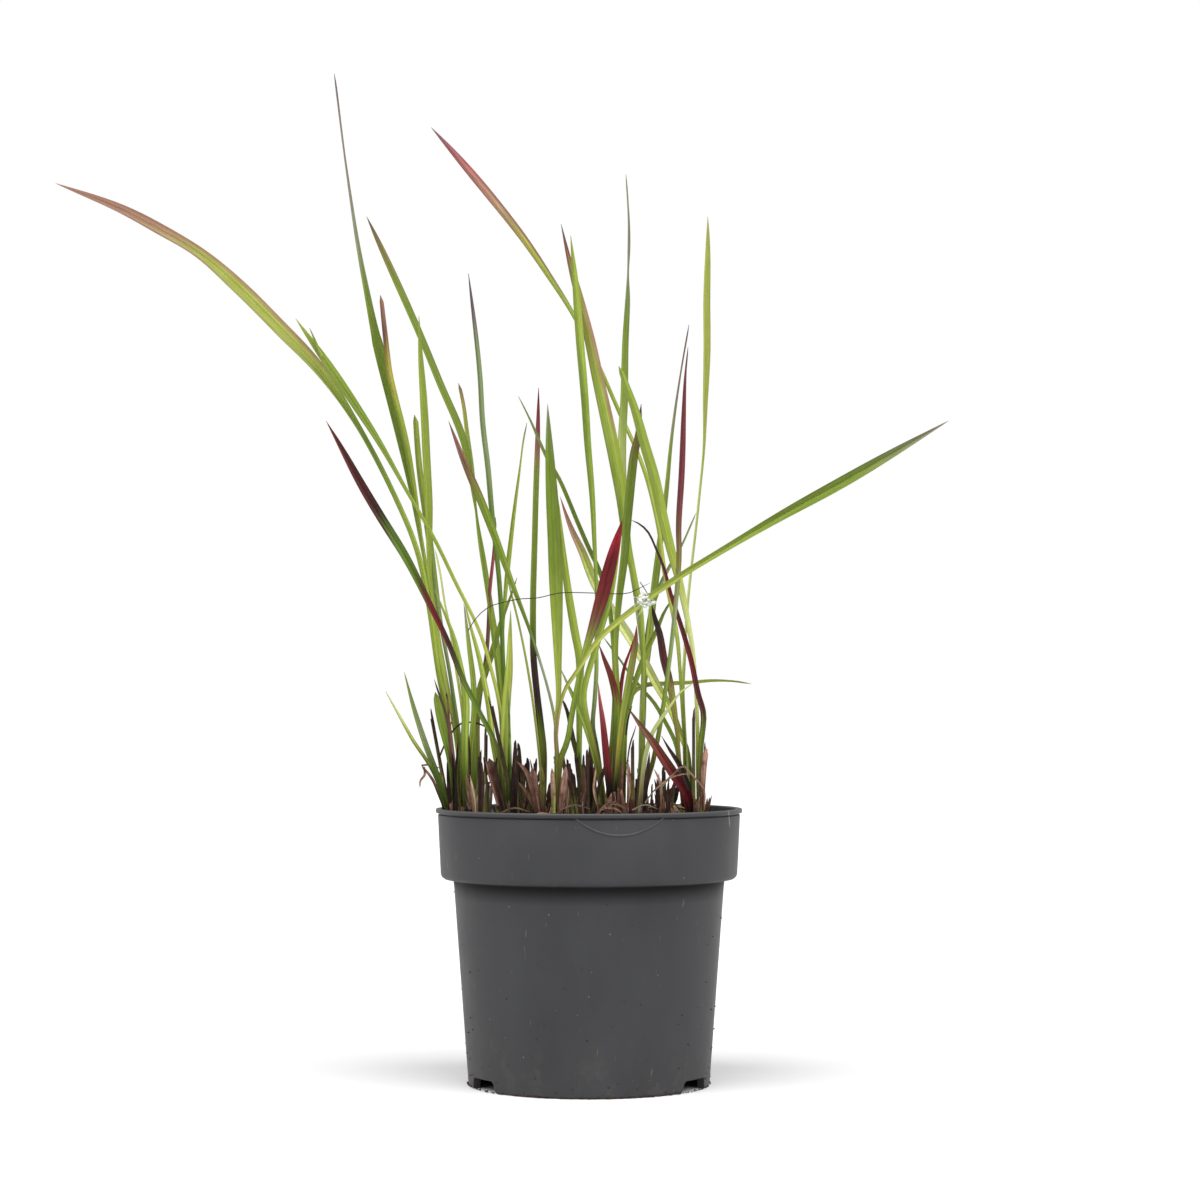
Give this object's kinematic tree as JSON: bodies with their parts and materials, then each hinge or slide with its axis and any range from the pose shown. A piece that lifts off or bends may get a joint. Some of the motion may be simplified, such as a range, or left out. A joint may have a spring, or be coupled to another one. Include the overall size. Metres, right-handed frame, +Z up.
{
  "type": "potted ornamental grass",
  "caption": "Clump of upright and arching red-tipped grass blades with cut dead stubs, growing in dark compost in a round tapered nursery pot with a deep collar.",
  "frame": {"origin": "on the ground at the middle of the pot's base", "axes": "+Z up along the pot's axis; -Y towards the viewer of the picture, +X to that viewer's right"},
  "size_m": [0.4681, 0.225, 0.5682],
  "materials": {
    "pot": "matt moulded, lightly scuffed",
    "soil": "moist crumbly compost",
    "green": "fresh leaf, satin, fine ribs along it",
    "light": "pale yellow-green leaf, satin, fine ribs along it",
    "dark": "dark green leaf, satin, fine ribs along it",
    "olive": "olive leaf with a reddish tip, satin",
    "crimson": "crimson leaf, satin, translucent",
    "maroon": "dark maroon leaf, satin",
    "stub": "dry fibrous stem, cut short",
    "litter": "dry tan leaf"
  },
  "bodies": {
    "root": {"pot": "pot", "soil": "soil", "left_short": "green", "left_arch": "light", "left_tall": "green", "left_blunt": "green", "left_cut": "dark", "left_sheath": "green", "left_leaning": "green", "left_crimson": "crimson", "arching_maroon": "maroon", "frayed": "light", "purple_tipped": "green", "pale_pair": "light", "red_tipped": "olive", "pink_tipped": "green", "broad": "green", "pale": "light", "crimson_blade": "crimson", "long_right": "light", "upright_green": "dark", "narrow_green": "green", "slender_back": "olive", "crimson_shoot": "crimson", "low_green": "green", "red_hook": "crimson", "olive_red_tip": "olive", "dark_red": "maroon", "level": "light", "broad_olive": "olive", "back_green": "green", "upright_maroon": "maroon", "pale_thread": "light", "long_left": "olive", "upright_yellow": "light", "right_green": "green", "crimson_stem": "crimson", "blunt_maroon": "maroon", "yellow_back": "light", "thin_back": "green", "red_diagonal": "maroon", "stubs_left_edge": "stub", "stubs_far_left": "stub", "stubs_left_front": "stub", "stubs_left_middle": "stub", "stubs_left_back": "stub", "stubs_middle_front": "stub", "stubs_middle": "stub", "stubs_centre": "stub", "stubs_middle_back": "stub", "stubs_back": "stub", "stubs_right_front": "stub", "stubs_right_middle": "stub", "stubs_right": "stub", "stubs_far_right": "stub", "stubs_right_back": "stub", "litter_front": "litter", "litter_right": "litter", "litter_back": "litter"}
  },
  "joints": []
}
